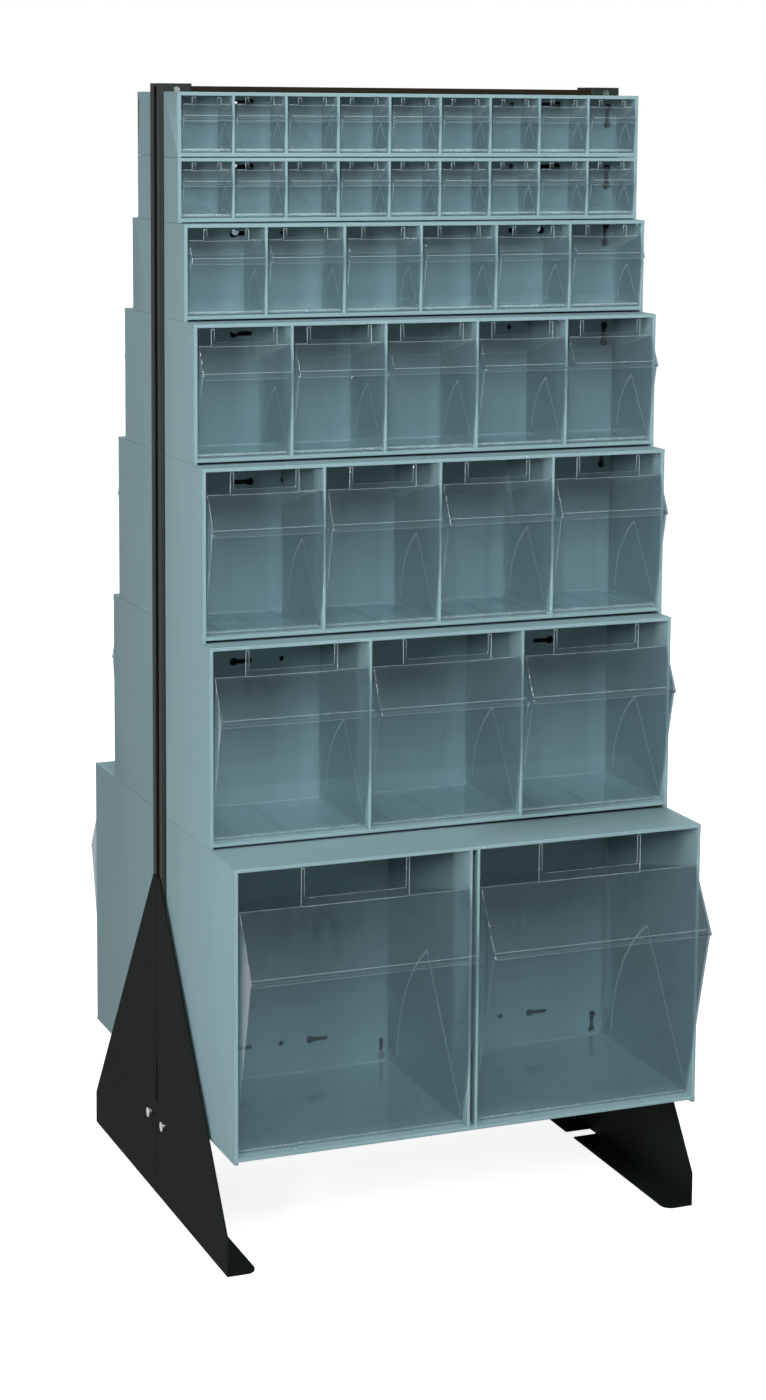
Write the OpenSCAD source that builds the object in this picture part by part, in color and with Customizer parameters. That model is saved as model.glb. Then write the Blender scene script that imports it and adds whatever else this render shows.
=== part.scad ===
// Double-sided stand of tip-out bins. Two end posts on sheet-steel legs carry seven rows of
// moulded cabinets on each side. Clear bins tip out of the cabinets on trunnions, and stop pins
// that ride in sector tracks in the cabinet walls end their travel.
// The origin is on the floor under the middle of the stand. The front faces -Y.

/* [Cabinets] */
// Width of every cabinet
cabinet_w = 600; // [560:1:640]
// Thickness of the end walls
end_wall = 4.5; // [4:0.1:6]
// Thickness of the top
top_wall = 4.5; // [3.5:0.1:6]
// Thickness of the floor
floor_wall = 4.5; // [3.5:0.1:6]
// Thickness of the back
back_wall = 2.5; // [2:0.1:3.5]
// Thickness of the walls between bins
partition = 3.6; // [3.2:0.1:4.5]
// Slot that parts the middle wall of the two-bin cabinet
middle_slot = 6; // [4:0.5:10]
// Depth of that slot behind the front rim
middle_slot_depth = 32; // [20:1:60]
// Width of the seam across the top of the two-bin cabinet
seam_w = 1.2; // [0.8:0.1:2]
// Depth of that seam
seam_depth = 0.8; // [0.5:0.1:1.5]
// Gap between one cabinet and the next one up
stack_gap = 0.4; // [0.2:0.1:0.8]
// Distance between the backs of the front and rear cabinets
back_gap = 52; // [48:1:60]
// Height of the lowest cabinets over the floor
floor_gap = 139; // [125:1:160]

/* [Nine-bin cabinets] */
// Height
nine_h = 76.2; // [74:0.1:82]
// Depth behind the front rim
nine_d = 55; // [52:0.5:60]
// Reach of the bin's lip in front of the rim
nine_lip = 12; // [9:0.5:14]
// Setback of the trunnions behind the front rim
nine_set = 7; // [6.5:0.5:9]
// Lift of the floor between the end walls
nine_lift = 1; // [0.6:0.1:2]
// Notch at each end of the bin's top edge
nine_notch = 12.5; // [10:0.5:15]
// Height of the level keyholes over the cabinet's lower edge
nine_hole_z = 64; // [60:0.5:65]
// Height of the hanging screws over the cabinet's lower edge
nine_hang_z = 62; // [57:0.5:62.5]

/* [Six-bin cabinets] */
// Height
six_h = 113.9; // [108:0.1:120]
// Depth behind the front rim
six_d = 78; // [74:0.5:84]
// Reach of the bin's lip in front of the rim
six_lip = 15; // [12:0.5:18]
// Setback of the trunnions behind the front rim
six_set = 9; // [7.5:0.5:11]
// Lift of the floor between the end walls
six_lift = 2; // [1:0.1:3]
// Notch at each end of the bin's top edge
six_notch = 19; // [16:0.5:24]
// Height of the level keyholes over the cabinet's lower edge
six_hole_z = 99; // [94:0.5:102]
// Height of the hanging screws over the cabinet's lower edge
six_hang_z = 104; // [98:0.5:104.5]

/* [Five-bin cabinets] */
// Height
five_h = 164.7; // [155:0.1:172]
// Depth behind the front rim
five_d = 114; // [108:0.5:120]
// Reach of the bin's lip in front of the rim
five_lip = 21; // [17:0.5:25]
// Setback of the trunnions behind the front rim
five_set = 11; // [9:0.5:14]
// Lift of the floor between the end walls
five_lift = 2.5; // [1:0.1:4]
// Notch at each end of the bin's top edge
five_notch = 16; // [12:0.5:22]
// Height of the level keyholes over the cabinet's lower edge
five_hole_z = 143.5; // [136:0.5:148]
// Height of the hanging screws over the cabinet's lower edge
five_hang_z = 143; // [130:0.5:150]

/* [Four-bin cabinets] */
// Height
four_h = 206; // [196:0.1:214]
// Depth behind the front rim
four_d = 145; // [138:0.5:152]
// Reach of the bin's lip in front of the rim
four_lip = 24; // [20:0.5:29]
// Setback of the trunnions behind the front rim
four_set = 13; // [10:0.5:16]
// Lift of the floor between the end walls
four_lift = 3; // [1:0.1:4]
// Notch at each end of the bin's top edge
four_notch = 29; // [26:0.5:36]
// Height of the level keyholes over the cabinet's lower edge
four_hole_z = 169; // [160:0.5:178]
// Height of the hanging screws over the cabinet's lower edge
four_hang_z = 193; // [180:0.5:195]

/* [Three-bin cabinets] */
// Height
three_h = 240.9; // [230:0.1:250]
// Depth behind the front rim
three_d = 171; // [164:0.5:178]
// Reach of the bin's lip in front of the rim
three_lip = 29; // [24:0.5:34]
// Setback of the trunnions behind the front rim
three_set = 15; // [12:0.5:18]
// Lift of the floor between the end walls
three_lift = 3; // [1:0.1:4]
// Notch at each end of the bin's top edge
three_notch = 39; // [34:0.5:46]
// Height of the level keyholes over the cabinet's lower edge
three_hole_z = 188; // [178:0.5:200]
// Height of the hanging screws over the cabinet's lower edge
three_hang_z = 228; // [215:0.5:230]

/* [Two-bin cabinets] */
// Height
two_h = 352; // [340:0.1:364]
// Depth behind the front rim
two_d = 260; // [250:0.5:270]
// Reach of the bin's lip in front of the rim
two_lip = 46; // [40:0.5:52]
// Setback of the trunnions behind the front rim
two_set = 18; // [14:0.5:22]
// Lift of the floor between the end walls
two_lift = 3; // [1:0.1:4]
// Notch at each end of the bin's top edge
two_notch = 76; // [66:0.5:84]
// Height of the level keyholes over the cabinet's lower edge
two_hole_z = 47.5; // [40:0.5:56]
// Height of the hanging screws over the cabinet's lower edge
two_hang_z = 36; // [34:0.5:60]

/* [Bins] */
// Thickness of a bin's walls
bin_wall = 1.8; // [1.4:0.1:2.2]
// Gap between a bin and the wall beside it
side_gap = 0.7; // [0.5:0.1:1]
// Gap between a bin and the cabinet's floor
floor_clear = 0.8; // [0.5:0.1:1.5]
// Gap between a bin's tab and the cabinet's top
tab_clear = 1.4; // [1:0.1:2.5]
// Gap between a bin and the cabinet's back
rear_clear = 5; // [4.5:0.5:8]
// Radius of the front lower corner, about the trunnions
corner_r = 4.5; // [4:0.1:5.5]
// Setback of the tab behind the front rim
tab_set = 0.6; // [0.4:0.1:1.5]
// Level of the lip as a share of the opening's height
lip_level = 0.66; // [0.6:0.01:0.7]
// Level of the tab's foot as a share of the opening's height
tab_level = 0.865; // [0.82:0.005:0.89]
// Room left under the cabinet's top as the bin's rear edge swings past
swing_room = 10; // [6:0.5:14]
// Length of the finger lip beyond the front wall
finger = 4; // [2:0.5:6]
// Width of the two prongs of the tab
prong = 4.5; // [3:0.5:8]
// Height of the bar under the tab's window as a share of the tab's height
tab_bar = 0.2; // [0.15:0.01:0.3]
// Radius of the window's lower corners
window_r = 2.5; // [1:0.5:4]
// Height of the divider ribs
rib_h = 1.4; // [0.8:0.1:2]
// Thickness of a divider rib
rib_t = 1; // [0.8:0.1:1.6]
// Clear slot between the two ribs of a pair
rib_slot = 2.2; // [1.6:0.1:3]

/* [Tipping] */
// Angle that a bin tips out
tip_angle = 55; // [45:1:58]
// Radius of a trunnion
trunnion_r = 2.6; // [2:0.1:3]
// Length of a trunnion inside its bore
trunnion_hold = 1.3; // [1:0.1:1.5]
// Radial play of a trunnion in its bore
trunnion_play = 0.06; // [0.03:0.01:0.1]
// Radius of a stop pin
stop_r = 1.7; // [1.4:0.1:2.2]
// Length of a stop pin inside its track
stop_hold = 0.6; // [0.4:0.1:0.8]
// Reach of the stop pins as a share of the way from the trunnions to the bin's rear wall
stop_share = 0.89; // [0.84:0.01:0.93]
// Angle of the stop pins over the trunnions
stop_angle = 2.5; // [2:0.5:6]
// Play of a stop pin in its track
track_play = 0.4; // [0.3:0.1:0.8]
// Distance of the track's radial run from the trunnions, in trunnion radii
track_start = 4; // [3:0.5:6]

/* [Cabinet holes] */
// Distance between the middles of the two outer level keyholes
keyhole_span = 406.4; // [396:0.1:416]
// Distance between the two inner level keyholes of the two-bin cabinet
inner_span = 203.2; // [190:0.1:216]
// Distance of the two-bin cabinet's inner upright keyholes from its middle
middle_keyhole = 15.5; // [13:0.5:20]
// Length of a keyhole's slot
keyhole_run = 21; // [18:0.5:24]
// Radius of a keyhole's round end
keyhole_r = 5; // [4.6:0.1:5.5]
// Half the width of a keyhole's slot
keyhole_slot_r = 2.8; // [2.7:0.1:3.2]
// Distance between the two round holes
hole_span = 302; // [290:0.1:320]
// Radius of the round holes
hole_r = 3.2; // [2.6:0.1:3.8]
// Width of the standoff pads on a cabinet's back
pad_w = 22; // [18:1:28]
// Height of the standoff pads
pad_h = 36; // [34:1:40]
// Radius of the small locating holes in the end walls
dot_r = 1.1; // [0.8:0.1:2]
// Depth of those holes
dot_depth = 2; // [1:0.1:3]
// Distance of those holes from the front rim, and of the upper ones from the top
dot_inset = 13; // [10:0.5:18]
// Level of the lower ones as a share of the cabinet's height
dot_level = 0.3; // [0.25:0.01:0.35]
// Least height of a cabinet that has the lower ones
dot_tall = 150; // [120:1:154]
// Width of the nubs on the two-bin cabinet's floor, in front of the bins
nub_w = 5; // [4:0.5:8]
// Depth of those nubs
nub_d = 8; // [6:0.5:9]
// Height of those nubs
nub_h = 2.5; // [1.5:0.1:3]
// Setback of those nubs behind the front rim
nub_set = 1.5; // [1:0.1:2]

/* [Posts and rails] */
// Width of a post along the cabinets
post_w = 40; // [34:0.5:46]
// Depth of a post from front to rear
post_d = 43; // [38:0.5:45]
// Sheet thickness of posts and rails
post_t = 2; // [1.5:0.1:3]
// Outer radius of a post's corners
post_r = 3.5; // [3:0.1:5]
// Width of the slot in a post's outer side
post_slot = 14; // [11:0.5:18]
// Stand of a post's outer side beyond the cabinets' ends
post_proud = 3; // [2:0.1:5]
// Height of a post's top over the top cabinets
post_rise = 10; // [6:0.5:16]
// Height of a post's lower end over the floor
post_foot = 60; // [50:1:66]
// Height of a rail
rail_h = 18; // [16:0.5:18.5]
// Depth of the top rail's upper face below the posts' tops
rail_drop = 3; // [2:0.5:5]
// Height of the lower rail's lower edge over the floor
lower_rail_z = 70; // [66:1:80]
// Gap between a rail and the post around it
rail_clear = 0.3; // [0.2:0.1:0.6]

/* [Legs] */
// Sheet thickness of the legs
leg_t = 2.5; // [2:0.1:3.5]
// Height of a leg
leg_h = 410; // [380:1:440]
// Distance from the seam to the toe of a leg
leg_reach = 275; // [250:1:300]
// Width of a leg half at its top
leg_top_w = 12; // [10:0.5:18]
// Height of a leg's upright toe
toe_h = 42; // [34:1:50]
// Width of the foot flange
foot_w = 38; // [30:0.5:45]
// Radius of the foot flange's corner at the toe
foot_r = 14; // [8:0.5:20]
// Gap between the foot flange and the seam
foot_gap = 12; // [8:0.5:20]
// Gap between the two halves at the seam
leg_seam = 0.8; // [0.4:0.1:1.5]
// Width of the relief slot in the seam
relief_w = 6; // [4:0.5:9]
// Lower end of the relief slot
relief_low = 122; // [118:1:130]
// Upper end of the relief slot
relief_high = 177; // [165:1:185]
// Depth of the locating flange inside the post's slot
tongue_w = 18; // [12:0.5:24]
// Upper end of the locating flange
tongue_high = 392; // [360:1:400]

/* [Fasteners] */
// Radius of the leg bolts
bolt_r = 3; // [2.5:0.1:3.5]
// Radius of a leg bolt's head
bolt_head_r = 6; // [5:0.1:7]
// Height of a leg bolt's head
bolt_head_h = 3.5; // [2.5:0.1:4.5]
// Height of the leg bolts over the floor
bolt_z = 98; // [92:0.5:104]
// Thickness of a nut
nut_h = 5; // [4:0.1:6]
// Width of a nut across its corners
nut_w = 11.5; // [10:0.1:13]
// Gap between a nut and the side of the post
nut_clear = 0.75; // [0.4:0.05:2]
// Sheet thickness of a post's bolt ears
ear_t = 3; // [2:0.1:4]
// Height of a post's bolt ears
ear_h = 34; // [28:1:40]
// Margin of a bolt ear past its bolt
ear_margin = 12; // [9:0.5:16]
// Radius of the rail screws and the hanging screws
screw_r = 2.2; // [1.8:0.1:2.6]
// Radius of a screw's head
screw_head_r = 4; // [3.5:0.1:5]
// Height of a screw's head
screw_head_h = 2.2; // [1.6:0.1:2.6]
// Length of a screw past the sheet that it holds
screw_tail = 3; // [2:0.5:5]
// Distance of the rail screws below a rail's upper face
screw_drop = 4.5; // [4.2:0.1:6]
// Radial play of bolts and screws in their holes
screw_play = 0.1; // [0.05:0.01:0.2]

/* [Hidden] */
$fn = 48;
corner_steps = 5;
eps = 0.5;
cabinet_colour = [0.62, 0.72, 0.73];
bin_colour = [0.75, 0.88, 0.9, 0.45];
steel_colour = [0.13, 0.13, 0.11];
zinc_colour = [0.72, 0.72, 0.7];

// One line per cabinet size: bins, height, depth, lip, setback, lift, notch, keyhole level,
// screw level, rib pairs
SIZES = [
    [9, nine_h, nine_d, nine_lip, nine_set, nine_lift, nine_notch, nine_hole_z, nine_hang_z, 0],
    [6, six_h, six_d, six_lip, six_set, six_lift, six_notch, six_hole_z, six_hang_z, 0],
    [5, five_h, five_d, five_lip, five_set, five_lift, five_notch, five_hole_z, five_hang_z, 0],
    [4, four_h, four_d, four_lip, four_set, four_lift, four_notch, four_hole_z, four_hang_z, 3],
    [3, three_h, three_d, three_lip, three_set, three_lift, three_notch, three_hole_z, three_hang_z, 3],
    [2, two_h, two_d, two_lip, two_set, two_lift, two_notch, two_hole_z, two_hang_z, 0]
];
SIZE_NAMES = ["nine", "six", "five", "four", "three", "two"];
// Turn of the left and of the right level keyholes in each cabinet size
KEYHOLE_TURNS = [[180, 180], [0, 0], [0, 0], [180, 180], [0, 180], [0, 0]];
// The cabinet size in each row, from the top row down
ROWS = [0, 0, 1, 2, 3, 4, 5];
last_row = len(ROWS) - 1;

function bins_in(k) = SIZES[k][0];
function height(k) = SIZES[k][1];
function depth(k) = SIZES[k][2];
function lip(k) = SIZES[k][3];
function setback(k) = SIZES[k][4];
function lift(k) = SIZES[k][5];
function notch(k) = SIZES[k][6];
function hole_z(k) = SIZES[k][7];
function hang_z(k) = SIZES[k][8];
function rib_pairs(k) = SIZES[k][9];
function is_twin(k) = bins_in(k) == 2;

// Places of the rows, and of the compartments in a row
function row_z(r) = r == last_row ? floor_gap : row_z(r + 1) + height(ROWS[r + 1]) + stack_gap;
function wall_between(k) = is_twin(k) ? 2 * partition + middle_slot : partition;
function room_w(k) =
    (cabinet_w - 2 * end_wall - (bins_in(k) - 1) * wall_between(k)) / bins_in(k);
function room_x(k, i) =
    -cabinet_w / 2 + end_wall + i * (room_w(k) + wall_between(k)) + room_w(k) / 2;
function room_floor(k) = lift(k) + floor_wall;
function room_h(k) = height(k) - room_floor(k) - top_wall;

// A bin's own sizes. Its profile is drawn with the front rim at 0, depth to the right and
// the cabinet's floor at 0.
function bin_w(k) = room_w(k) - 2 * side_gap;
pivot_z = floor_clear + corner_r;
function pivot(k) = [setback(k), pivot_z];
function rear_y(k) = depth(k) - back_wall - rear_clear;
function swing_r(k) = room_h(k) - pivot_z - swing_room;
function rear_top(k) = pivot_z + sqrt(pow(swing_r(k), 2) - pow(rear_y(k) - setback(k), 2));
function brow(k) = [-lip(k) + finger, room_h(k) * lip_level];
function tab_foot(k) = [tab_set, room_h(k) * tab_level];
function tab_top(k) = room_h(k) - tab_clear;
function stop_reach(k) = stop_share * (rear_y(k) - setback(k));

function unit(v) = v / norm(v);
function left(v) = [-v[1], v[0]];
function polar(r, a) = r * [cos(a), sin(a)];
// The point b of a path a, b, c moved to the left of the path by t, so that the walls stay parallel
function mitre(a, b, c, t) =
    let (u = unit(b - a), v = unit(c - b))
    b + t * (left(u) + left(v)) / (1 + u * v);
function shifted(path, t) = [
    for (i = [0 : len(path) - 1])
        i == 0 ? path[0] + t * left(unit(path[1] - path[0]))
        : i == len(path) - 1 ? path[i] + t * left(unit(path[i] - path[i - 1]))
        : mitre(path[i - 1], path[i], path[i + 1], t)
];
function reversed(path) = [for (i = [len(path) - 1 : -1 : 0]) path[i]];

// The outside of a bin from the tab's foot over the lip, down the front, round the trunnions,
// along the floor and up the rear wall
function front_tangent(k) =
    let (v = brow(k) - pivot(k))
    atan2(v[1], v[0]) + acos(corner_r / norm(v));
function bin_path(k) = concat(
    [tab_foot(k), brow(k)],
    [
        for (i = [0 : corner_steps])
            let (start = front_tangent(k))
            pivot(k) + polar(corner_r, start + (270 - start) * i / corner_steps)
    ],
    [[rear_y(k), floor_clear], [rear_y(k), rear_top(k)]]
);

// A bin's path with its brow drawn out to the finger lip
function lipped(path) =
    let (slope = unit(path[1] - path[0]), front = unit(path[2] - path[1]))
    concat(
        [path[0], path[1] + slope * finger / abs(slope[0]), path[1] + front * finger],
        [for (i = [2 : len(path) - 1]) path[i]]
    );

// Posts, rails and legs, drawn at the right-hand end
post_out = cabinet_w / 2 + post_proud;
post_x = post_out - post_w / 2;
standoff = (back_gap - post_d) / 2;
stack_top = row_z(0) + height(ROWS[0]);
post_top = stack_top + post_rise;
rail_d = post_d - 2 * post_t - 2 * rail_clear;
rail_reach = post_out - ear_t - rail_clear;
top_rail_z = post_top - rail_drop - rail_h;
rail_levels = [lower_rail_z, top_rail_z];
leg_out = post_out + leg_t;
tongue_low = relief_high + relief_w;
bolt_y = post_d / 2 + nut_w / 2 + nut_clear;
// Height of a hanging screw over the middle of the slot's end that rests on it
hang_rise = keyhole_slot_r - screw_r - screw_play;

function bin_name(r, i) = str("row", r + 1, "_bin", i + 1);
function rear_name(r) = str("rear_row", r + 1, "_bins");
function cabinet_name(k) = str(SIZE_NAMES[k], "_bin_cabinets");

// Extrudes a profile of depth and height along X, centred
module along_x(length) {
    translate([-length / 2, 0, 0])
        rotate([90, 0, 90])
            linear_extrude(length)
                children();
}

// Extrudes a profile of X and Z along Y
module along_y(length) {
    translate([0, length, 0])
        rotate([90, 0, 0])
            linear_extrude(length)
                children();
}

module rounded_square(w, h, r) {
    union() {
        translate([r, 0]) square([w - 2 * r, h]);
        translate([0, r]) square([w, h - 2 * r]);
        for (x = [r, w - r]) for (y = [r, h - r]) translate([x, y]) circle(r);
    }
}

// Puts a front piece in place on the front and again, turned, on the rear
module both_sides() {
    for (turn = [0, 180]) rotate(turn) children();
}

// Moves a piece from a cabinet's own frame, with its front rim at 0, to its row on the front
module in_row(r) {
    translate([0, -back_gap / 2 - depth(ROWS[r]), row_z(r)]) children();
}

// The path of a stop pin: an arc about the trunnions, and a radial run from its upper end
// through which the pin is let in
module sector_track(k) {
    half_w = stop_r + track_play;
    reach = stop_reach(k);
    over = asin(half_w / reach);
    low = stop_angle - over;
    high = stop_angle + tip_angle + over;
    far = 2 * reach;
    start = track_start * trunnion_r;
    translate(pivot(k)) {
        intersection() {
            difference() {
                circle(reach + half_w);
                circle(reach - half_w);
            }
            polygon([[0, 0], polar(far, low), polar(far, (low + high) / 2), polar(far, high)]);
        }
        rotate(stop_angle + tip_angle)
            translate([start, -half_w]) square([reach - start, 2 * half_w]);
    }
}

// A round hole with a slot that runs from it along +X
module keyhole() {
    circle(keyhole_r);
    translate([0, -keyhole_slot_r]) square([keyhole_run, 2 * keyhole_slot_r]);
    translate([keyhole_run, 0]) circle(keyhole_slot_r);
}

// The holes in a cabinet's back, drawn over X and Z. A hanging screw sits at the top of
// each outer upright keyhole.
module back_holes(k) {
    for (end = [0, 1]) {
        side = 2 * end - 1;
        for (x = is_twin(k) ? [post_x, middle_keyhole] : [post_x])
            translate([side * x, hang_z(k) - hang_rise - keyhole_run]) rotate(90) keyhole();
        for (span = is_twin(k) ? [keyhole_span, inner_span] : [keyhole_span])
            translate([side * span / 2, hole_z(k)])
                rotate(KEYHOLE_TURNS[k][end])
                    translate([-keyhole_run / 2, 0])
                        keyhole();
        translate([side * hole_span / 2, hole_z(k)]) circle(hole_r);
    }
}

module rooms(k) {
    for (i = [0 : bins_in(k) - 1])
        translate([room_x(k, i), 0, room_floor(k)]) {
            translate([-room_w(k) / 2, -eps, 0])
                cube([room_w(k), depth(k) - back_wall + eps, room_h(k)]);
            along_x(room_w(k) + 2 * (stop_hold + track_play)) sector_track(k);
        }
}

// The trunnions' bores pierce the walls between bins and stop short inside the end walls
module trunnion_bores(k) {
    length = cabinet_w - 2 * end_wall + 2 * (trunnion_hold + track_play);
    translate([0, setback(k), room_floor(k) + pivot_z])
        rotate([0, 90, 0])
            cylinder(h = length, r = trunnion_r + trunnion_play, center = true);
}

// The small blind holes in both end walls
module locating_holes(k) {
    for (side = [-1, 1])
        for (z = concat([height(k) - dot_inset], height(k) > dot_tall ? [height(k) * dot_level] : []))
            translate([side * cabinet_w / 2, dot_inset, z])
                rotate([0, 90, 0])
                    cylinder(h = 2 * dot_depth, r = dot_r, center = true);
}

// The pads on the back that keep a cabinet clear of the posts, one round the hanging screw
// and one at the other end
module standoff_pads(k) {
    level = hang_z(k) - keyhole_run / 2;
    for (side = [-1, 1])
        for (z = [level, height(k) - level])
            translate([side * post_x - pad_w / 2, depth(k) - eps, z - pad_h / 2])
                cube([pad_w, standoff + eps, pad_h]);
}

// Two nubs on the floor in front of each bin
module floor_nubs(k) {
    for (i = [0 : bins_in(k) - 1])
        for (side = [-1, 1])
            translate([room_x(k, i) + side * room_w(k) / 4 - nub_w / 2, nub_set, room_floor(k) - eps])
                cube([nub_w, nub_d, nub_h + eps]);
}

module cabinet(k) {
    w = cabinet_w;
    d = depth(k);
    h = height(k);
    difference() {
        union() {
            translate([-w / 2, 0, 0]) cube([w, d, h]);
            standoff_pads(k);
        }
        rooms(k);
        trunnion_bores(k);
        translate([-w / 2 + end_wall, -eps, -eps]) cube([w - 2 * end_wall, d + 2 * eps, lift(k) + eps]);
        translate([0, d - back_wall - eps, 0])
            along_y(back_wall + standoff + 2 * eps) back_holes(k);
        locating_holes(k);
        if (is_twin(k)) {
            translate([-middle_slot / 2, -eps, room_floor(k)])
                cube([middle_slot, middle_slot_depth + eps, room_h(k)]);
            translate([-seam_w / 2, -eps, h - seam_depth]) cube([seam_w, d + 2 * eps, seam_depth + eps]);
        }
    }
    if (is_twin(k)) floor_nubs(k);
}

module cabinets(k) {
    color(cabinet_colour)
        for (r = [0 : last_row])
            if (ROWS[r] == k)
                both_sides() in_row(r) cabinet(k);
}

// The tab is a bar with two prongs and an open window between them
module tab(k) {
    w = bin_w(k) - 2 * notch(k);
    low = tab_foot(k)[1] - bin_wall;
    h = tab_top(k) - low;
    translate([-w / 2, tab_set, low])
        along_y(bin_wall)
            difference() {
                square([w, h]);
                translate([prong, bin_wall + tab_bar * (h - bin_wall)])
                    rounded_square(w - 2 * prong, h, window_r);
            }
}

module divider_ribs(k) {
    inner = shifted(bin_path(k), bin_wall - eps);
    crest = shifted(bin_path(k), bin_wall + rib_h);
    to = len(inner) - 1;
    run = concat([for (i = [2 : to]) inner[i]], [for (i = [to : -1 : 2]) crest[i]]);
    for (pair = [0 : 1 : rib_pairs(k) - 1])
        for (side = [-1, 1])
            translate([
                ((pair + 0.5) / rib_pairs(k) - 0.5) * bin_w(k) + side * (rib_slot + rib_t) / 2,
                0,
                0
            ])
                along_x(rib_t) polygon(run);
}

// A bin in a compartment's own frame: the front rim at 0 and the cabinet's floor at 0
module bin(k) {
    outside = lipped(bin_path(k));
    inside = shifted(bin_path(k), bin_wall);
    along_x(bin_w(k)) polygon(concat(outside, reversed(inside)));
    for (side = [-1, 1]) {
        translate([side * (bin_w(k) - bin_wall) / 2, 0, 0]) along_x(bin_wall) polygon(outside);
        translate([side * bin_w(k) / 2, pivot(k)[0], pivot(k)[1]])
            rotate([0, side * 90, 0])
                translate([0, 0, -bin_wall / 2])
                    cylinder(h = bin_wall / 2 + side_gap + trunnion_hold, r = trunnion_r);
        stop = pivot(k) + polar(stop_reach(k), stop_angle);
        translate([side * bin_w(k) / 2, stop[0], stop[1]])
            rotate([0, side * 90, 0])
                translate([0, 0, -bin_wall / 2])
                    cylinder(h = bin_wall / 2 + side_gap + stop_hold, r = stop_r);
    }
    tab(k);
    divider_ribs(k);
}

module front_bin(r, i) {
    k = ROWS[r];
    color(bin_colour)
        in_row(r)
            translate([room_x(k, i), 0, room_floor(k)])
                bin(k);
}

module rear_bins(r) {
    for (i = [0 : bins_in(ROWS[r]) - 1]) rotate(180) front_bin(r, i);
}

module at_end(side) {
    if (side < 0) mirror([1, 0, 0]) children();
    else children();
}

module at_front(end) {
    if (end < 0) mirror([0, 1, 0]) children();
    else children();
}

// A lipped channel with its slot outward, windows for the rails in its inner side, and two ears
module post(side) {
    color(steel_colour)
        at_end(side)
            difference() {
                union() {
                    translate([post_out - post_w, -post_d / 2, post_foot])
                        linear_extrude(post_top - post_foot)
                            difference() {
                                rounded_square(post_w, post_d, post_r);
                                translate([post_t, post_t])
                                    rounded_square(post_w - 2 * post_t, post_d - 2 * post_t, post_r - post_t);
                                translate([post_w - post_t - eps, (post_d - post_slot) / 2])
                                    square([post_t + 2 * eps, post_slot]);
                            }
                    for (end = [-1, 1])
                        at_front(end)
                            translate([post_out - ear_t, post_d / 2 - post_r - eps, bolt_z - ear_h / 2])
                                cube([ear_t, bolt_y + ear_margin - post_d / 2 + post_r + eps, ear_h]);
                }
                for (z = rail_levels)
                    translate([post_out - post_w - eps, -rail_d / 2 - rail_clear, z - rail_clear])
                        cube([post_r + 2 * eps, rail_d + 2 * rail_clear, rail_h + 2 * rail_clear]);
                for (y = [-bolt_y, bolt_y])
                    translate([post_out, y, bolt_z])
                        rotate([0, 90, 0])
                            cylinder(h = 4 * ear_t, r = bolt_r + screw_play, center = true);
                for (z = post_screw_levels())
                    translate([post_x, 0, z])
                        rotate([90, 0, 0])
                            cylinder(h = post_d + 2 * eps, r = screw_r + screw_play, center = true);
            }
}

// Levels of the screws through a post: one in each rail and one for each cabinet
function post_screw_levels() = concat(
    [for (z = rail_levels) z + rail_h - screw_drop],
    [for (r = [0 : last_row]) row_z(r) + hang_z(ROWS[r])]
);

// Rails are channels, open below, whose ends stand inside the posts
module rail(z) {
    difference() {
        translate([-rail_reach, -rail_d / 2, z]) cube([2 * rail_reach, rail_d, rail_h]);
        translate([-rail_reach - eps, -rail_d / 2 + post_t, z - eps])
            cube([2 * rail_reach + 2 * eps, rail_d - 2 * post_t, rail_h - post_t + eps]);
        for (side = [-1, 1])
            translate([side * post_x, 0, z + rail_h - screw_drop])
                rotate([90, 0, 0])
                    cylinder(h = rail_d + 2 * eps, r = screw_r + screw_play, center = true);
    }
}

module cross_rails() {
    color(steel_colour)
        for (z = rail_levels) rail(z);
}

// The outline of a leg half in depth from the seam and height, with its relief beside the seam
module leg_outline() {
    difference() {
        polygon([
            [leg_seam / 2, 0],
            [leg_reach, 0],
            [leg_reach, toe_h],
            [leg_top_w, leg_h],
            [leg_seam / 2, leg_h]
        ]);
        translate([0, relief_low]) square([relief_w / 2, relief_high - relief_low]);
        translate([bolt_y, bolt_z]) circle(bolt_r + screw_play);
    }
}

module foot_outline() {
    length = leg_reach - foot_gap;
    union() {
        square([foot_w, length - foot_r]);
        translate([foot_r, 0]) square([foot_w - foot_r, length]);
        translate([foot_r, length - foot_r]) circle(foot_r);
    }
}

// A leg half: the plate, the foot flange bent inward and the tongue in the post's slot
module leg(side, end) {
    color(steel_colour)
        at_end(side)
            at_front(end) {
                translate([post_out + leg_t / 2, 0, 0]) along_x(leg_t) leg_outline();
                translate([leg_out - foot_w, foot_gap, 0]) linear_extrude(leg_t) foot_outline();
                translate([post_out - tongue_w, leg_seam / 2, tongue_low])
                    cube([tongue_w + leg_t, leg_t, tongue_high - tongue_low]);
            }
}

module pan_screw(length) {
    cylinder(h = length, r = screw_r);
    translate([0, 0, -screw_head_h]) cylinder(h = screw_head_h, r = screw_head_r);
}

// Leg bolts with their nuts, and the screws that hold the rails in the posts
module frame_fasteners() {
    color(zinc_colour)
        for (side = [-1, 1])
            at_end(side)
                for (y = [-1, 1]) {
                    translate([leg_out, y * bolt_y, bolt_z])
                        rotate([0, -90, 0]) {
                            cylinder(h = leg_t + ear_t + nut_h + screw_tail, r = bolt_r);
                            translate([0, 0, -bolt_head_h]) cylinder(h = bolt_head_h, r = bolt_head_r);
                            translate([0, 0, leg_t + ear_t]) cylinder(h = nut_h, d = nut_w, $fn = 6);
                        }
                    for (z = rail_levels)
                        translate([post_x, y * post_d / 2, z + rail_h - screw_drop])
                            rotate([y * 90, 0, 0])
                                pan_screw(2 * post_t + rail_clear + screw_tail);
                }
}

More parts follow.
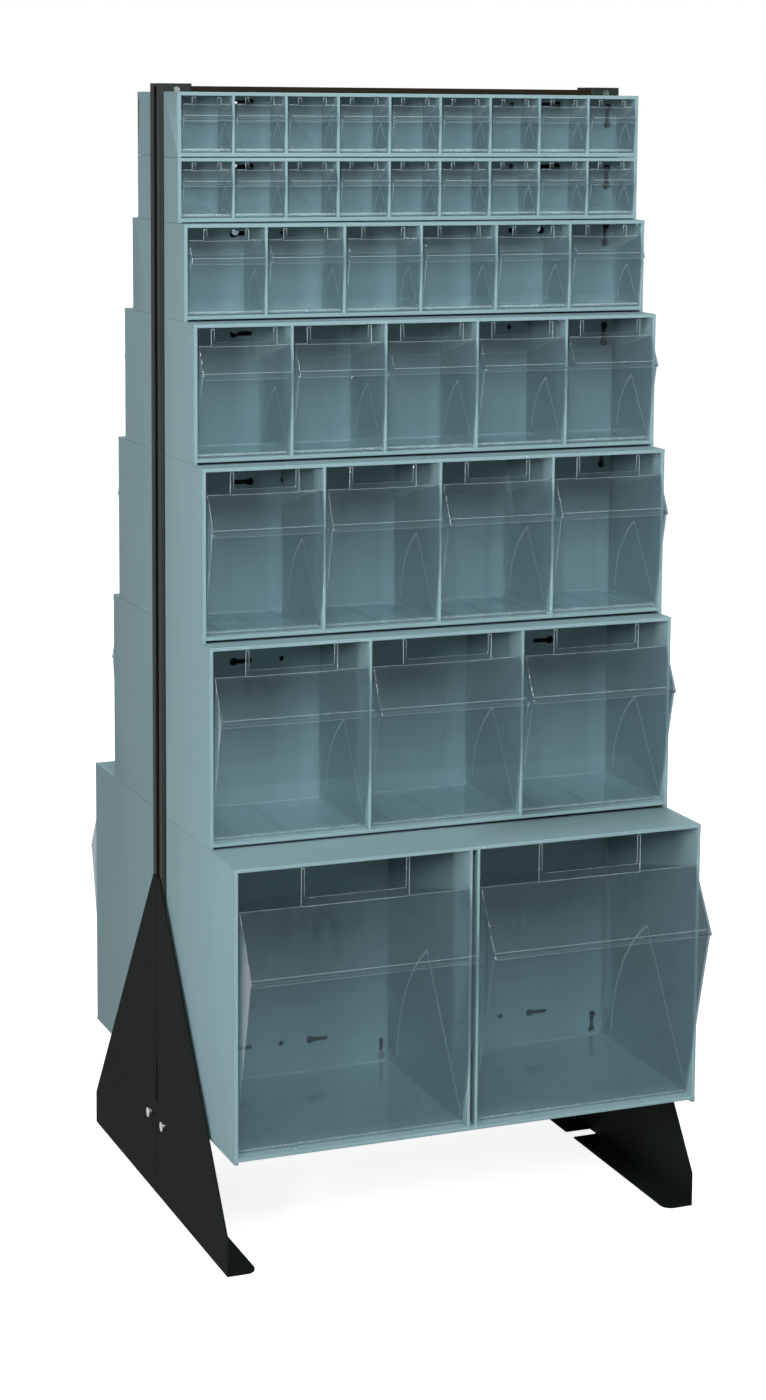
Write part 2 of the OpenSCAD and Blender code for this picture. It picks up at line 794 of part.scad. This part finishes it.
// Each cabinet hangs on two screws, whose heads stand inside it
module hanging_screws() {
    color(steel_colour)
        both_sides()
            for (r = [0 : last_row])
                for (side = [-1, 1])
                    translate([side * post_x, -back_gap / 2 - back_wall, row_z(r) + hang_z(ROWS[r])])
                        rotate([-90, 0, 0])
                            pan_screw(back_wall + standoff + post_t + screw_tail);
}

post(-1);  // left_post
post(1);  // right_post
cross_rails();
leg(-1, -1);  // left_front_leg
leg(-1, 1);  // left_rear_leg
leg(1, -1);  // right_front_leg
leg(1, 1);  // right_rear_leg
frame_fasteners();
hanging_screws();
for (k = [0 : len(SIZES) - 1])
    cabinets(k);
for (r = [0 : last_row])
    for (i = [0 : bins_in(ROWS[r]) - 1])
        front_bin(r, i);
for (r = [0 : last_row])
    rear_bins(r);
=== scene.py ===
"""Looks of the double-sided tip-out bin stand: moulded plastic, clear bins, painted steel and zinc."""

import math

import bmesh
import bpy
import numpy as np
from mathutils import Matrix, Vector


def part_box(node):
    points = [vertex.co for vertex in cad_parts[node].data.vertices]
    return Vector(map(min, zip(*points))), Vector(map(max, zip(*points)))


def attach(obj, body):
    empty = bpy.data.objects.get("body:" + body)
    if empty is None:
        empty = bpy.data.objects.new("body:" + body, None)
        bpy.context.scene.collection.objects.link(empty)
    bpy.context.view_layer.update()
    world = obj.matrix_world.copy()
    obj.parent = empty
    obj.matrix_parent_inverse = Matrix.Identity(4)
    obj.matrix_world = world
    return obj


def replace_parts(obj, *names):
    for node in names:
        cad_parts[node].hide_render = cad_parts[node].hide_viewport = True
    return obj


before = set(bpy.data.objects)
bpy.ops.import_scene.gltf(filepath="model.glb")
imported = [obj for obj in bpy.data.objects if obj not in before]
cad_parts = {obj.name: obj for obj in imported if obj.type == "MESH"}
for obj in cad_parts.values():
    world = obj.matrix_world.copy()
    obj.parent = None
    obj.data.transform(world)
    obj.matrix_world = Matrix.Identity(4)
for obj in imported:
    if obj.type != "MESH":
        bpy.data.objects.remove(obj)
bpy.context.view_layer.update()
scene = bpy.context.scene

# The fit of the camera to the photograph: pixels along its long side, focal length and offset of its middle
# in pixels, angles in degrees and place in metres
PHOTO_LONG_SIDE = 1400
FOCAL_LENGTH = 2848.6
MIDDLE_OFFSET = (-21.5, -207.8)
AZIMUTH, ELEVATION, ROLL = 22.21, 7.80, 0.454
CAMERA_PLACE = (-1.3191, -3.2858, 1.3614)
SENSOR_WIDTH = 36.0

# Vertices closer than this are one, and faces closer to one plane than this angle are one face
WELD = 2e-6
FLAT = math.radians(0.4)
NEAR = 1e-5
# Planes are told apart by their normal and distance, rounded to these digits. The shift keeps sizes in
# hundredths of a mm off the steps.
NORMAL_DIGITS, DISTANCE_DIGITS = 2, 4
PLANE_SHIFT = 0.0000137
# A face whose normal has more than this share along X is a side, and an edge with this share along Z is
# upright
SIDEWAYS = 0.99
UPRIGHT = 0.8
# Corners of a cabinet's rim that are closer in height than this belong to a small step in it, and their
# levels are rounded to these digits
RIM_STEP = 0.002
LEVEL_DIGITS = 5
# Faces that meet at more than these angles make an edge that is rounded, and one that is shaded sharp
SHARP = math.radians(35)
SHADED_SHARP = math.radians(50)
# Width of the rounding, and length of the shortest edge that gets it. Every rounding has this many segments.
BIN_ROUNDING = (0.0004, 0.002)
CABINET_ROUNDING = (0.0009, 0.006)
FRAME_ROUNDING = (0.0005, 0.02)
ROUNDING_SEGMENTS = 2
# Walls of a clear bin that are longer than this meet in corners with these radii and this many segments
CORNER_LENGTH = 0.015
OUTER_RADIUS = 0.0012
INNER_RADIUS = 0.0005
CORNER_SEGMENTS = 4
# A flat face in a cabinet's side walls is a track's floor if it is taller than this and fills this share of
# its box at most
TRACK_HEIGHT = 0.02
TRACK_SHARE = 0.35
# Faces of a clear bin that are narrower than this get a pale haze, a painted highlight
EDGE_WIDTH = 0.0022
# The sides of a clear bin's ribs fill this share of their box at most
RIB_SHARE = 0.1

# What a noise's values lie between
NOISE_LOW, NOISE_HIGH = 0.3, 0.7
# What a sheet of clear plastic mirrors head on, and how steeply that grows at a glance
MIRRORED_HEAD_ON = 0.04
GLANCE_POWER = 5.0

# The floor's size, its drop under the feet, and the light of its own that makes it melt into the backdrop
FLOOR_SIZE = 80.0
FLOOR_DROP = 0.0005
FLOOR_GLOW = 0.86
# Colours of the backdrop and of the ceiling that the stand mirrors
WHITE = (1.0, 1.0, 1.0, 1.0)
CEILING = (0.75, 0.95, 1.0, 1.0)
# Painted shade: dark tones that the floor and backdrop take where seen through one clear wall, and through
# more, as through the holes in the cabinets, in place of the shade between the parts
SHADE_THROUGH_ONE_WALL = (0.23, 0.32, 0.35, 1.0)
DEEP_PAINTED_SHADE = (0.02, 0.03, 0.032, 1.0)
# Faces of clear plastic that a look passes before the backdrop takes these painted shades
FACES_TO_SHADE, FACES_TO_DEEP_SHADE = 2, 5
# Clear faces that a look may pass on its way through the bins
MOST_CLEAR_FACES = 32


class Nodes:
    """A material's node tree with short calls to add and join nodes."""

    def __init__(self, name):
        self.material = bpy.data.materials.new(name)
        self.material.use_nodes = True
        self.tree = self.material.node_tree
        self.tree.nodes.clear()
        self.place = self.add("ShaderNodeTexCoord").outputs["Object"]

    def add(self, kind, **values):
        """A node, with values for its inputs or settings. A value that is a socket is linked."""
        node = self.tree.nodes.new(kind)
        for name, value in values.items():
            socket = node.inputs.get(name.replace("_", " "))
            if socket is None:
                setattr(node, name, value)
            elif isinstance(value, bpy.types.NodeSocket):
                self.tree.links.new(value, socket)
            else:
                socket.default_value = value
        return node

    def noise(self, scale, detail=3.0, stretch=(1.0, 1.0, 1.0)):
        moved = self.add("ShaderNodeMapping", Vector=self.place, Scale=stretch).outputs["Vector"]
        return self.add("ShaderNodeTexNoise", Vector=moved, Scale=scale, Detail=detail).outputs["Fac"]

    def span(self, value, low, high):
        """A noise spread over low to high."""
        made = self.add(
            "ShaderNodeMapRange",
            Value=value, From_Min=NOISE_LOW, From_Max=NOISE_HIGH, To_Min=low, To_Max=high,
        )
        return made.outputs["Result"]

    def tint(self, value, dark, light):
        """A noise as a colour between dark and light."""
        made = self.add("ShaderNodeValToRGB", Fac=value)
        for stop, place, colour in zip(made.color_ramp.elements, (NOISE_LOW, NOISE_HIGH), (dark, light)):
            stop.position = place
            stop.color = (*colour, 1.0)
        return made.outputs["Color"]

    def bump(self, height, strength, distance):
        made = self.add("ShaderNodeBump", Height=height, Strength=strength, Distance=distance)
        return made.outputs["Normal"]

    def glancing(self):
        """The share that either side of a clear sheet mirrors: little head on, and more at a glance."""
        facing = self.add("ShaderNodeLayerWeight", Blend=0.5).outputs["Facing"]
        steep = self.add("ShaderNodeMath", operation="POWER")
        self.tree.links.new(facing, steep.inputs[0])
        steep.inputs[1].default_value = GLANCE_POWER
        share = self.add("ShaderNodeMath", operation="MULTIPLY_ADD")
        self.tree.links.new(steep.outputs[0], share.inputs[0])
        share.inputs[1].default_value = 1.0 - MIRRORED_HEAD_ON
        share.inputs[2].default_value = MIRRORED_HEAD_ON
        return share.outputs[0]

    def mix(self, share, first, second):
        made = self.add("ShaderNodeMixShader")
        self.tree.links.new(share, made.inputs[0])
        self.tree.links.new(first.outputs[0], made.inputs[1])
        self.tree.links.new(second.outputs[0], made.inputs[2])
        return made

    def finish(self, shader):
        self.add("ShaderNodeOutputMaterial", Surface=shader.outputs[0])
        return self.material


def moulded_plastic(name, dark, light, rough):
    """Matte grey-blue plastic with a fine moulded grain and faint flow marks."""
    n = Nodes(name)
    flow = n.noise(scale=9.0, detail=4.0, stretch=(1.0, 1.0, 0.35))
    grain = n.noise(scale=900.0, detail=2.0)
    return n.finish(n.add(
        "ShaderNodeBsdfPrincipled",
        Base_Color=n.tint(flow, dark, light),
        Roughness=n.span(grain, low=rough, high=rough + 0.14),
        Normal=n.bump(grain, strength=0.12, distance=0.0004),
        Specular_IOR_Level=0.05,
    ))


def clear_plastic(name, haze_low, haze_high, tone):
    """Clear plastic, which mirrors at a glance and lets the rest through with a tint and faint streaks."""
    n = Nodes(name)
    through = n.add("ShaderNodeBsdfTransparent", Color=(0.963, 0.974, 0.982, 1.0))
    waves = n.span(n.noise(scale=60.0, detail=2.0), low=0.03, high=0.08)
    mirror = n.add("ShaderNodeBsdfGlossy", Color=(0.9, 0.95, 0.96, 1.0), Roughness=waves)
    haze = n.add("ShaderNodeBsdfDiffuse", Color=(*tone, 1.0))
    clear = n.mix(n.glancing(), through, mirror)
    streaks = n.noise(scale=90.0, detail=3.0, stretch=(1.0, 1.0, 0.05))
    return n.finish(n.mix(n.span(streaks, haze_low, haze_high), clear, haze))


def painted_steel(name, dark, light, shine):
    """Dark powder coat with orange peel."""
    n = Nodes(name)
    peel = n.noise(scale=420.0, detail=2.0)
    return n.finish(n.add(
        "ShaderNodeBsdfPrincipled",
        Base_Color=n.tint(n.noise(scale=7.0, detail=4.0), dark, light),
        Roughness=n.span(peel, low=0.5, high=0.62),
        Normal=n.bump(peel, strength=0.18, distance=0.0006),
        Specular_IOR_Level=shine,
    ))


def zinc_plate():
    """Bright zinc with fine turning marks and a slight uneven dullness."""
    n = Nodes("zinc_plate")
    dull = n.noise(scale=260.0)
    turning = n.noise(scale=1800.0, detail=2.0, stretch=(0.2, 1.0, 1.0))
    return n.finish(n.add(
        "ShaderNodeBsdfPrincipled",
        Base_Color=n.tint(dull, dark=(0.52, 0.54, 0.53), light=(0.72, 0.74, 0.72)),
        Roughness=n.span(dull, low=0.24, high=0.4),
        Normal=n.bump(turning, strength=0.1, distance=0.0003),
        Metallic=1.0,
    ))


def plane_of(face):
    """A face's plane as a key: its rounded normal and distance."""
    distance = face.normal.dot(face.verts[0].co)
    normal = (round(v, NORMAL_DIGITS) for v in face.normal)
    return (*normal, round(distance + PLANE_SHIFT, DISTANCE_DIGITS))


def planes_of(bm):
    """The faces of a mesh by the plane that they lie in."""
    planes = {}
    for face in bm.faces:
        planes.setdefault(plane_of(face), []).append(face)
    return planes


def corners_of(faces):
    return np.array([v.co for face in faces for v in face.verts])


def mark_edges(bm):
    """Gives the second material, a pale haze that paints a highlight, to the narrow faces of a clear bin,
    such as the edges of its walls.
    """
    for faces in planes_of(bm).values():
        corners = corners_of(faces)
        length = np.linalg.norm(corners.max(0) - corners.min(0))
        if sum(face.calc_area() for face in faces) < EDGE_WIDTH * length:
            for face in faces:
                face.material_index = 1


def mark_tracks(bm):
    """Gives the second material, a lighter colour that paints on the light shining through the thin plastic
    there, to the floors of the tracks that the bins' stop pins slide in.
    """
    for plane, faces in planes_of(bm).items():
        if abs(plane[0]) < SIDEWAYS:
            continue
        front = [face for face in faces if face.verts[0].co.y < 0.0]
        rear = [face for face in faces if face.verts[0].co.y > 0.0]
        for cabinet_faces in filter(None, (front, rear)):
            area = sum(face.calc_area() for face in cabinet_faces)
            _, depth, height = np.ptp(corners_of(cabinet_faces), 0)
            if area < TRACK_SHARE * depth * height and height > TRACK_HEIGHT:
                for face in cabinet_faces:
                    face.material_index = 1


def rib_sides(bm):
    """The sides of the thin ribs that run down a clear bin's rear wall and along its floor."""
    found = set()
    for plane, faces in planes_of(bm).items():
        _, depth, height = np.ptp(corners_of(faces), 0)
        area = sum(face.calc_area() for face in faces)
        if abs(plane[0]) > SIDEWAYS and area < RIB_SHARE * depth * height:
            found.update(faces)
    return found


def round_corners(bm):
    """Rounds the upright corners where the walls of a clear bin meet, outside more than inside."""
    reach = {}
    for plane, faces in planes_of(bm).items():
        width, depth, _ = np.ptp(corners_of(faces), 0)
        reach[plane] = math.hypot(width, depth)
    for sign, radius in ((1.0, OUTER_RADIUS), (-1.0, INNER_RADIUS)):
        ribs = rib_sides(bm)
        corners = []
        for edge in bm.edges:
            run = edge.verts[1].co - edge.verts[0].co
            if (
                edge.is_manifold and run.length > CORNER_LENGTH and abs(run.z) > UPRIGHT * run.length
                and ribs.isdisjoint(edge.link_faces)
                and sign * edge.calc_face_angle_signed() > SHARP
                and all(reach.get(plane_of(face), 0.0) > CORNER_LENGTH for face in edge.link_faces)
            ):
                corners.append(edge)
        bmesh.ops.bevel(
            bm, geom=corners, offset=radius, offset_type="OFFSET", segments=CORNER_SEGMENTS, profile=0.5,
            affect="EDGES", clamp_overlap=False,
        )


def in_rim(name):
    """A test of whether an edge or face lies in the front rim of a node's cabinets."""
    reach = max(abs(p.y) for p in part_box(name))
    return lambda part: all(abs(abs(v.co.y) - reach) < NEAR for v in part.verts)


def cut_rims(bm, rim):
    """Cuts the rims, which go round all the bins, into plain strips at the bins' floors and tops."""
    rim_verts = {vert for face in bm.faces if rim(face) for vert in face.verts}
    levels = sorted({round(vert.co.z, LEVEL_DIGITS) for vert in rim_verts})
    for z in levels:
        if any(0.0 < abs(z - other) < RIM_STEP for other in levels):
            continue
        rims = [face for face in bm.faces if rim(face)]
        edges = {edge for face in rims for edge in face.edges}
        verts = {vert for face in rims for vert in face.verts}
        bmesh.ops.bisect_plane(
            bm, geom=[*rims, *edges, *verts], dist=NEAR, plane_co=(0.0, 0.0, z), plane_no=(0.0, 0.0, 1.0)
        )
    slanted = [
        edge for edge in bm.edges
        if all(rim(face) for face in edge.link_faces)
        and abs(edge.verts[0].co.z - edge.verts[1].co.z) > NEAR
    ]
    bmesh.ops.dissolve_edges(bm, edges=slanted)


def softened(name, body, materials, rounding, mark=None, rim=None):
    """A copy of a CAD node with its edges rounded off, which stands for the node.

    The function mark gives some faces the second material. Where rim is given, only the edges that it picks
    are rounded.
    """
    width, shortest = rounding
    bm = bmesh.new()
    bm.from_mesh(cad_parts[name].data)
    bmesh.ops.remove_doubles(bm, verts=bm.verts, dist=WELD)
    bmesh.ops.dissolve_limit(bm, angle_limit=FLAT, verts=bm.verts, edges=bm.edges)
    if rim:
        cut_rims(bm, rim)
    for face in bm.faces:
        face.material_index = 0
    if mark:
        mark(bm)
    clear = mark is mark_edges
    ribs = set()
    if clear:
        round_corners(bm)
        ribs = rib_sides(bm)
        for face in {near for side in ribs for edge in side.edges for near in edge.link_faces}:
            face.material_index = 0
    edges = [
        e for e in bm.edges
        if e.is_manifold and e.calc_length() > shortest and e.calc_face_angle() > SHARP
        and (rim is None or rim(e)) and ribs.isdisjoint(e.link_faces)
    ]
    # On a clear bin the rounded edges get the second material too, a pale haze that paints a highlight on
    # them
    bmesh.ops.bevel(
        bm, geom=edges, offset=width, offset_type="OFFSET", segments=ROUNDING_SEGMENTS, profile=0.5,
        affect="EDGES", clamp_overlap=False, material=1 if clear else -1,
    )
    mesh = bpy.data.meshes.new(f"{name}_shape")
    bm.to_mesh(mesh)
    bm.free()
    for material in materials:
        mesh.materials.append(material)
    mesh.polygons.foreach_set("use_smooth", [True] * len(mesh.polygons))
    mesh.set_sharp_from_angle(angle=SHADED_SHARP)
    made = bpy.data.objects.new(f"{name}_shape", mesh)
    scene.collection.objects.link(made)
    made.modifiers.new("even", "WEIGHTED_NORMAL").keep_sharp = True
    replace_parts(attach(made, body), name)


def dress(name, material):
    """Gives a CAD node, which is shown as it is, its material."""
    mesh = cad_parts[name].data
    mesh.materials.clear()
    mesh.materials.append(material)
    mesh.polygons.foreach_set("material_index", [0] * len(mesh.polygons))


cabinet = moulded_plastic(
    "moulded_plastic", dark=(0.166, 0.258, 0.274), light=(0.182, 0.279, 0.295), rough=0.42
)
# Painted light: the tracks' floors are coloured far lighter than the cabinet, in place of the light that
# shines through the thin plastic there
track = moulded_plastic("track_floor_painted_light", dark=(0.42, 0.52, 0.54), light=(0.47, 0.57, 0.59), rough=0.26)
panel = clear_plastic("clear_plastic", haze_low=0.008, haze_high=0.02, tone=(0.3, 0.42, 0.45))
# Painted highlight: a pale haze on the bins' narrow faces and rounded edges makes them read as bright lines
panel_edge_highlight = clear_plastic("clear_plastic_edge_painted_highlight", haze_low=0.22, haze_high=0.36, tone=(0.6, 0.73, 0.75))
posts = painted_steel(
    "painted_posts", dark=(0.0155, 0.0200, 0.0175), light=(0.0215, 0.0270, 0.0240), shine=0.12
)
# Painted shade: the legs carry the posts' paint made darker, in place of the shade that falls on them
legs = painted_steel(
    "painted_legs", dark=(0.0050, 0.0070, 0.0066), light=(0.0070, 0.0095, 0.0090), shine=0.02
)
rails = painted_steel(
    "painted_rails", dark=(0.013, 0.010, 0.006), light=(0.019, 0.015, 0.010), shine=0.05
)
zinc = zinc_plate()

for name in sorted(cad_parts):
    if name.startswith(("row", "rear_row")):
        softened(name, name, [panel, panel_edge_highlight], BIN_ROUNDING, mark_edges)
    elif name.endswith("_bin_cabinets"):
        softened(name, "stand", [cabinet, track], CABINET_ROUNDING, mark_tracks, in_rim(name))
    elif name == "frame_fasteners":
        dress(name, zinc)
    elif name == "hanging_screws":
        dress(name, posts)
    else:
        paint = rails if name == "cross_rails" else legs if name.endswith("_leg") else posts
        softened(name, "stand", [paint], FRAME_ROUNDING)


def ramp(tree, value, low, high):
    """A share that grows from 0 to 1 as a value goes from low to high."""
    made = tree.nodes.new("ShaderNodeMapRange")
    made.inputs["From Min"].default_value = low
    made.inputs["From Max"].default_value = high
    tree.links.new(value, made.inputs["Value"])
    return made.outputs["Result"]


def faces_passed(tree, low, high):
    """A share that grows as a look passes more faces of clear plastic on its way."""
    return ramp(tree, tree.nodes.new("ShaderNodeLightPath").outputs["Transparent Depth"], low, high)


def painted_shade_through(tree):
    """The backdrop's colour seen through clear plastic, with painted shade that darkens it the more clear
    faces a look passes.
    """
    made = tree.nodes.new("ShaderNodeValToRGB")
    tree.links.new(faces_passed(tree, 0, FACES_TO_DEEP_SHADE), made.inputs["Fac"])
    made.color_ramp.elements.new(FACES_TO_SHADE / FACES_TO_DEEP_SHADE)
    for stop, colour in zip(made.color_ramp.elements, (WHITE, SHADE_THROUGH_ONE_WALL, DEEP_PAINTED_SHADE)):
        stop.color = colour
    return made.outputs["Color"]


def floor():
    """A wide pale floor that melts into the white backdrop. It takes soft shadows and throws no light."""
    n = Nodes("studio_floor")
    pale = n.add(
        "ShaderNodeBsdfPrincipled",
        Base_Color=n.tint(n.noise(scale=0.7), dark=(0.4, 0.4, 0.4), light=(0.42, 0.42, 0.42)),
        Roughness=0.8,
        Specular_IOR_Level=0.0,
        Emission_Color=WHITE,
        Emission_Strength=FLOOR_GLOW,
    )
    # Painted shade: seen through clear plastic, the floor glows in dark tones in place of the shade between
    # the parts
    through = n.add("ShaderNodeEmission", Color=painted_shade_through(n.tree), Strength=1.0)
    shader = n.mix(faces_passed(n.tree, 0, FACES_TO_SHADE), pale, through)
    bpy.ops.mesh.primitive_plane_add(size=FLOOR_SIZE, location=(0.0, 0.0, -FLOOR_DROP))
    plane = bpy.context.object
    plane.name = "studio_floor"
    plane.data.materials.append(n.finish(shader))
    plane.visible_diffuse = False
    plane.visible_glossy = False
    plane.visible_shadow = False


def lamp(name, place, target, size, power, spread=180.0, mirrored=True):
    """A soft lamp that the camera doesn't see. Where mirrored is false, nothing mirrors it either."""
    data = bpy.data.lights.new(name, "AREA")
    data.shape = "RECTANGLE"
    data.size, data.size_y = size
    data.energy = power
    data.spread = math.radians(spread)
    made = bpy.data.objects.new(name, data)
    made.location = place
    made.rotation_euler = (Vector(target) - Vector(place)).to_track_quat("-Z", "Y").to_euler()
    made.visible_camera = False
    made.visible_glossy = mirrored
    scene.collection.objects.link(made)


def studio():
    """A white backdrop, soft light all round, a key lamp over the camera, two at the left and one behind.

    What the stand mirrors is the white backdrop behind it, and a dark studio with a lit ceiling in front.
    """
    world = bpy.data.worlds.new("studio")
    world.use_nodes = True
    tree = world.node_tree
    tree.nodes.clear()

    def background(colour, strength):
        made = tree.nodes.new("ShaderNodeBackground")
        if isinstance(colour, bpy.types.NodeSocket):
            tree.links.new(colour, made.inputs["Color"])
        else:
            made.inputs["Color"].default_value = colour
        made.inputs["Strength"].default_value = strength
        return made.outputs[0]

    def mix(share, first, second):
        made = tree.nodes.new("ShaderNodeMixShader")
        for socket, source in zip(made.inputs, (share, first, second)):
            tree.links.new(source, socket)
        return made.outputs[0]

    path = tree.nodes.new("ShaderNodeLightPath")
    toward = tree.nodes.new("ShaderNodeSeparateXYZ")
    tree.links.new(tree.nodes.new("ShaderNodeTexCoord").outputs["Generated"], toward.inputs[0])
    upward = ramp(tree, toward.outputs["Z"], low=0.55, high=0.85)
    rearward = ramp(tree, toward.outputs["Y"], low=0.0, high=0.5)
    front = mix(upward, background(WHITE, strength=0.05), background(CEILING, strength=0.35))
    mirrored = mix(rearward, front, background(WHITE, strength=0.8))
    # Painted shade: what is mirrored through many clear faces is darkened to the deep shade tone
    beyond = faces_passed(tree, FACES_TO_SHADE, FACES_TO_DEEP_SHADE)
    mirrored = mix(beyond, mirrored, background(DEEP_PAINTED_SHADE, strength=1.0))
    light = mix(path.outputs["Is Glossy Ray"], background(WHITE, strength=0.5), mirrored)
    # Painted shade: the backdrop seen through clear plastic takes the dark tones in place of the shade
    # between the parts
    backdrop = background(painted_shade_through(tree), strength=1.0)
    shown = mix(path.outputs["Is Camera Ray"], light, backdrop)
    tree.links.new(shown, tree.nodes.new("ShaderNodeOutputWorld").inputs["Surface"])
    scene.world = world
    middle = Vector((0.0, 0.0, 0.75))
    lamp("key", (-0.72, -3.0, 2.98), target=middle, size=(1.6, 1.6), power=146.0)
    lamp("left", (-2.6, -2.7, 1.55), target=middle, size=(0.5, 0.5), power=48.0)
    lamp("side", (-2.3, -0.6, 0.62), target=(-0.3, -0.24, 0.62), size=(0.12, 1.2), power=0.7, spread=22.0)
    lamp("rear", (1.2, 3.4, 2.6), target=(0.0, 0.0, 0.7), size=(1.6, 1.6), power=90.0, mirrored=False)


def camera():
    """The photograph's view, from a fit of the cabinets' corners in it."""
    azimuth, elevation, roll = (math.radians(a) for a in (AZIMUTH, ELEVATION, ROLL))
    forward = Vector((
        math.sin(azimuth) * math.cos(elevation),
        math.cos(azimuth) * math.cos(elevation),
        -math.sin(elevation),
    ))
    right = Vector((math.cos(azimuth), -math.sin(azimuth), 0.0))
    up = right.cross(forward)
    across = math.cos(roll) * right + math.sin(roll) * up
    upward = math.cos(roll) * up - math.sin(roll) * right
    data = bpy.data.cameras.new("camera")
    data.sensor_width = SENSOR_WIDTH
    data.lens = FOCAL_LENGTH / PHOTO_LONG_SIDE * SENSOR_WIDTH
    data.shift_x, data.shift_y = (offset / PHOTO_LONG_SIDE for offset in MIDDLE_OFFSET)
    made = bpy.data.objects.new("camera", data)
    turn = Matrix((across, upward, -forward)).transposed().to_4x4()
    made.matrix_world = Matrix.Translation(CAMERA_PLACE) @ turn
    scene.collection.objects.link(made)
    scene.camera = made


floor()
studio()
camera()
scene.view_settings.view_transform = "Standard"
scene.cycles.transparent_max_bounces = MOST_CLEAR_FACES
